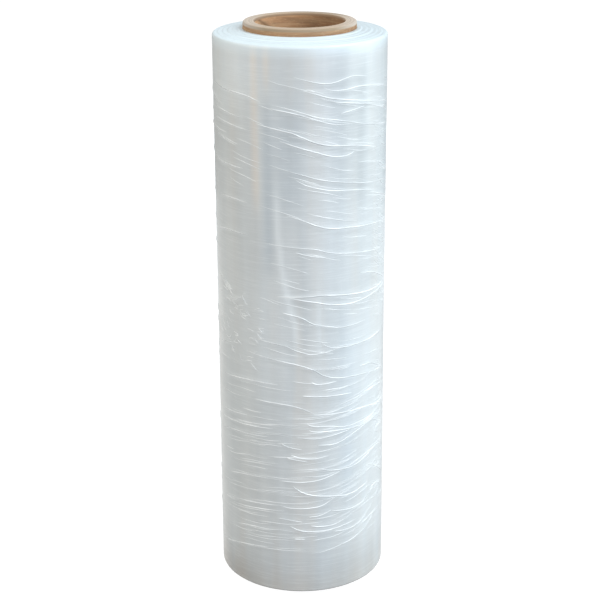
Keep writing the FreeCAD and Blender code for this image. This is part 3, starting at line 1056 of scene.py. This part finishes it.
def core_profile():
    """Radius, height and place of the core's rings: out over the foot, up, in over the head, down."""
    ply = PLY_DEPTH * (corner_value(np.arange(RIM_RINGS), 3.0, 5.0) - 0.5)
    ply[0] = ply[-1] = 0
    rows = [(r, h, "rim") for r, h in rim_profile(ply)]
    wall = np.linspace(WALL_INSET, CORE_HEIGHT - WALL_INSET, WALL_ROWS)
    rows += [(CORE_OUTER, h, "outside") for h in wall]
    rows += [(r, CORE_HEIGHT - h, "rim") for r, h in reversed(rim_profile(-ply))]
    depths = np.linspace(0, 1, BORE_ROWS) ** BORE_CROWDING * (CORE_HEIGHT - 2 * BORE_INSET)
    rows += [(CORE_INNER, CORE_HEIGHT - BORE_INSET - d, "bore") for d in depths]
    return rows


def make_core():
    angles = np.linspace(0, 360, CORE_COLUMNS, endpoint=False)
    rings, rim, seam = [], [], []
    for radius, up, place in core_profile():
        radii = np.full(CORE_COLUMNS, radius)
        if place == "bore":
            radii = radii + seam_relief(angles, up)
        rings.append(ring(radii, up, angles))
        rim.append(np.full(CORE_COLUMNS, 1.0 if place == "rim" else 0.0))
        seam.append(seam_line(angles, up) * (1.0 if place == "bore" else 0.0))
    piece = skin_from_rings("paperboard_core", np.array(rings))
    write_values(piece, "rim", rim)
    write_values(piece, "seam", seam)
    return piece


paperboard_core = make_core()
print("core:", triangles(paperboard_core), "triangles")

# %% [markdown]
# The film's finish
#
# One layer is clear, but hundreds of them scatter light back like milk, so the roll looks pale
# grey-blue with a gloss on top. The values written on the points say where it is milkier, warmer
# or bluer, and they also carry painted light, shade and reflections. Fine noise drawn out round the
# roll adds threads too thin for the mesh, whiter partly as folded film is and partly as a painted
# glint. The cut edges scatter most of all, which makes the end faces nearly white.

# %% Film finish
FILM_COLOUR = (0.60, 0.645, 0.665, 1.0)
FILM_BLUE = (0.54, 0.615, 0.67, 1.0)
FILM_WARM = (0.67, 0.645, 0.60, 1.0)
FILM_EDGE_COLOUR = (0.77, 0.90, 0.97, 1.0)
# Creases and threads are whiter partly as folded film is and partly as a painted glint.
CREASE_WHITE_AND_GLINT = (0.90, 0.95, 0.97, 1.0)
MILKY_REACH = 0.2
EDGE_MILKY_AND_LIGHT_REACH = 0.12
# How the grain of each noise is drawn out: along x, y and z, where a small number makes it long.
BAND_GRAIN = (46, 46, 3.2)
SHADE_GRAIN = (70, 70, 5)
CLOUD_GRAIN = (20, 20, 60)
THREAD_GRAIN = (9, 9, 330)
FINE_GRAIN = (14, 14, 420)
FINEST_GRAIN = (40, 40, 1500)
CREASE_CLOUD_GRAIN = (30, 30, 120)


def attribute_value(tree, name):
    return add_node(tree, "ShaderNodeAttribute", {"attribute_name": name}).outputs["Fac"]


def film_bump(tree, place, strength):
    """Fine ripples that run round the roll, finer than the mesh."""
    fine = stretched_noise(tree, place, FINE_GRAIN, 3.0, 0.6)
    finest = stretched_noise(tree, place, FINEST_GRAIN, 2.0, 0.5)
    both = calculate(tree, "MULTIPLY_ADD", finest, 0.35, fine)
    inputs = {"Height": both, "Strength": strength, "Distance": 0.6 * MM}
    return add_node(tree, "ShaderNodeBump", None, inputs).outputs[0]


def make_film_finish():
    material, tree, output = new_material("stretch_film")
    place = add_node(tree, "ShaderNodeTexCoord").outputs["Object"]
    bands = stretched_noise(tree, place, BAND_GRAIN, 2.0, 0.55)
    cloud = stretched_noise(tree, place, CLOUD_GRAIN, 3.0, 0.6)
    drift = spread_out(tree, bands, 0.3, 0.7, -0.3, 0.3)
    hue = calculate(tree, "ADD", attribute_value(tree, "warm"), drift)
    bluer = calculate(tree, "MULTIPLY", hue, -1.0, clamp=True)
    warmer = calculate(tree, "MULTIPLY", hue, 1.0, clamp=True)
    colour = blend_colours(tree, bluer, FILM_COLOUR, FILM_BLUE)
    colour = blend_colours(tree, warmer, colour, FILM_WARM)
    shade = stretched_noise(tree, place, SHADE_GRAIN, 2.0, 0.5)
    air_and_painted_light = attribute_value(tree, "milky_and_painted_light")
    milky_and_painted_light = calculate(tree, "ADD", air_and_painted_light, spread_out(tree, shade, 0.3, 0.7, -0.2, 0.2))
    level = calculate(tree, "MULTIPLY_ADD", milky_and_painted_light, MILKY_REACH, 1.0)
    colour = scaled_colour(tree, colour, level)
    threads = stretched_noise(tree, place, THREAD_GRAIN, 4.0, 0.62)
    crest = calculate(tree, "ABSOLUTE", calculate(tree, "SUBTRACT", threads, 0.5))
    line = spread_out(tree, crest, 0.0, 0.03, 0.32, 0.0)
    # Thin white threads: partly whiter folded film and partly a painted glint.
    colour = blend_colours(tree, calculate(tree, "MULTIPLY", line, cloud), colour, CREASE_WHITE_AND_GLINT)
    # The end faces take the streaks too, and with them their painted light and shade.
    edge_level = calculate(tree, "MULTIPLY_ADD", air_and_painted_light, EDGE_MILKY_AND_LIGHT_REACH, 1.0)
    edge = scaled_colour(tree, FILM_EDGE_COLOUR[:3], edge_level)
    # The cut edges' own white, and the painted glow that the side takes below its top edge.
    colour = blend_colours(tree, attribute_value(tree, "edge_on_and_glow"), colour, edge)
    inputs = {
        "Base Color": colour,
        "Roughness": spread_out(tree, cloud, 0.3, 0.7, 0.28, 0.40),
        "IOR": 1.46,
        "Coat Weight": 0.15,
        "Coat Roughness": 0.14,
        "Normal": film_bump(tree, place, 0.22),
    }
    link_surface(tree, output, inputs)
    return material


def make_crease_finish():
    material, tree, output = new_material("film_crease")
    place = add_node(tree, "ShaderNodeTexCoord").outputs["Object"]
    cloud = stretched_noise(tree, place, CREASE_CLOUD_GRAIN, 2.0, 0.5)
    # The crease is whiter in patches: partly folded film and partly a painted glint.
    colour = blend_colours(tree, spread_out(tree, cloud, 0.35, 0.65), FILM_COLOUR, CREASE_WHITE_AND_GLINT)
    inputs = {
        "Base Color": colour,
        "Roughness": 0.22,
        "IOR": 1.48,
        "Coat Weight": 0.6,
        "Coat Roughness": 0.08,
        "Normal": film_bump(tree, place, 0.1),
    }
    link_surface(tree, output, inputs)
    return material


film_finish = make_film_finish()
crease_finish = make_crease_finish()
film_body.data.materials.append(film_finish)
film_creases.data.materials.append(crease_finish)
film_threads.data.materials.append(crease_finish)
print("film finish ready")

# %% [markdown]
# The paperboard's finish
#
# Brown paper is never one brown: fibres lie in it along the strip, patches are redder or greyer,
# and the seam shows as a dark line. The cut rim is paler and greyer than the wall, with the plies
# in it as rings, and the bore darkens from the lit left side to the right.

# %% Paperboard finish
PAPER_BROWN = (0.404, 0.232, 0.125, 1.0)
PAPER_DARK = (0.270, 0.168, 0.096, 1.0)
PAPER_PALE = (0.520, 0.370, 0.225, 1.0)
BORE_LIT, BORE_SHADED = 1.75, 0.95
RIM_PALE = (0.660, 0.540, 0.415, 1.0)
RIM_DARK = (0.430, 0.335, 0.240, 1.0)
RIM_PAINTED_LIGHT = (0.660, 0.610, 0.570, 1.0)
RIM_PAINTED_SHADE = (0.320, 0.250, 0.185, 1.0)
RIM_SIDE = (0.330, 0.255, 0.175, 1.0)
SEAM_DARK = (0.170, 0.100, 0.056, 1.0)
RIM_LIGHT_SHARE, RIM_SHADE_SHARE = 0.55, 0.6
PLY_FINENESS = 620.0
BLOTCH_GRAIN = (32, 32, 150)
STREAK_GRAIN = (26, 26, 330)
FIBRE_GRAIN = (260, 260, 950)
DIMPLE_GRAIN = (110, 110, 190)


def distance_from_axis(tree, place):
    axis = add_node(tree, "ShaderNodeSeparateXYZ", None, {0: place})
    across = calculate(tree, "POWER", axis.outputs[0], 2.0)
    along = calculate(tree, "POWER", axis.outputs[1], 2.0)
    return calculate(tree, "SQRT", calculate(tree, "ADD", across, along))


def wall_colour(tree, place, fibres):
    """Brown paper: blotches, streaks round the tube and pale fibres."""
    blotches = stretched_noise(tree, place, BLOTCH_GRAIN, 4.0, 0.62)
    streaks = stretched_noise(tree, place, STREAK_GRAIN, 3.0, 0.6)
    colour = blend_colours(tree, spread_out(tree, blotches, 0.32, 0.68), PAPER_DARK, PAPER_BROWN)
    colour = blend_colours(tree, spread_out(tree, streaks, 0.48, 0.7, 0.0, 0.6), colour, PAPER_PALE)
    colour = blend_colours(tree, spread_out(tree, streaks, 0.3, 0.44, 0.4, 0.0), colour, SEAM_DARK)
    return blend_colours(tree, spread_out(tree, fibres, 0.52, 0.72, 0.0, 0.5), colour, PAPER_PALE)


def rim_colour(tree, place, radius, fibres):
    """The cut rim: fine rings, painted light at its left and right ends, painted shade on the far side
    and brown rounds.
    """
    inputs = {"W": radius, "Scale": PLY_FINENESS, "Detail": 3.0, "Roughness": 0.7}
    plies = add_node(tree, "ShaderNodeTexNoise", {"noise_dimensions": "1D"}, inputs).outputs[0]
    colour = blend_colours(tree, spread_out(tree, plies, 0.40, 0.60), RIM_DARK, RIM_PALE)
    colour = blend_colours(tree, spread_out(tree, fibres, 0.5, 0.75, 0.0, 0.35), colour, RIM_PALE)
    axis = add_node(tree, "ShaderNodeSeparateXYZ", None, {0: place})
    outer = spread_out(tree, radius, CORE_OUTER - 1.4 * MM, CORE_OUTER - 0.4 * MM, 0.0, 1.0)
    colour = blend_colours(tree, outer, colour, RIM_SIDE)
    # Painted light: the rim's left and right ends are painted paler, where the side lamps light them.
    sideways = calculate(tree, "ABSOLUTE", axis.outputs[0])
    rim_light = spread_out(tree, sideways, 0.6 * CORE_OUTER, 0.98 * CORE_OUTER, 0.0, RIM_LIGHT_SHARE)
    colour = blend_colours(tree, rim_light, colour, RIM_PAINTED_LIGHT)
    # Painted shade: the far side of the rim is painted darker.
    far = calculate(tree, "MULTIPLY_ADD", axis.outputs[0], 0.5, axis.outputs[1])
    rim_shade = spread_out(tree, far, 0.7 * CORE_OUTER, 0.95 * CORE_OUTER, 0.0, RIM_SHADE_SHARE)
    colour = blend_colours(tree, rim_shade, colour, RIM_PAINTED_SHADE)
    inner = spread_out(tree, radius, CORE_INNER + 0.3 * MM, CORE_INNER + 1.3 * MM, 0.7, 0.0)
    return blend_colours(tree, inner, colour, PAPER_DARK)


def make_paper_finish():
    material, tree, output = new_material("paperboard")
    place = add_node(tree, "ShaderNodeTexCoord").outputs["Object"]
    fibres = stretched_noise(tree, place, FIBRE_GRAIN, 3.0, 0.65)
    radius = distance_from_axis(tree, place)
    wall = wall_colour(tree, place, fibres)
    across = add_node(tree, "ShaderNodeSeparateXYZ", None, {0: place}).outputs[0]
    shade = spread_out(tree, across, -0.95 * CORE_INNER, 0.65 * CORE_INNER, BORE_LIT, BORE_SHADED)
    bore_wall = scaled_colour(tree, wall, shade)
    bore_wall = blend_colours(tree, attribute_value(tree, "seam"), bore_wall, SEAM_DARK)
    in_bore = spread_out(tree, radius, CORE_INNER + 2 * MM, CORE_INNER + 3 * MM, 1.0, 0.0)
    wall = blend_colours(tree, in_bore, wall, bore_wall)
    rim = rim_colour(tree, place, radius, fibres)
    colour = blend_colours(tree, attribute_value(tree, "rim"), wall, rim)
    dimples = stretched_noise(tree, place, DIMPLE_GRAIN, 3.0, 0.6)
    grain = calculate(tree, "MULTIPLY_ADD", dimples, 0.6, fibres)
    values = {"Height": grain, "Strength": 0.4, "Distance": 0.4 * MM}
    bump = add_node(tree, "ShaderNodeBump", None, values)
    inputs = {"Base Color": colour, "Roughness": 0.82, "Normal": bump.outputs[0], "IOR": 1.4}
    link_surface(tree, output, inputs)
    return material


paperboard_core.data.materials.append(make_paper_finish())
print("paperboard finish ready")

# %% [markdown]
# Replace and ride
#
# Each piece hides the part of the construction that it stands for. Nothing moves on a roll, so
# all pieces ride on the same body.

# %% Ride and replace
for piece in (film_body, film_creases, film_threads):
    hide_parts("film")
    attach(piece, "root")
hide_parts("core")
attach(paperboard_core, "root")
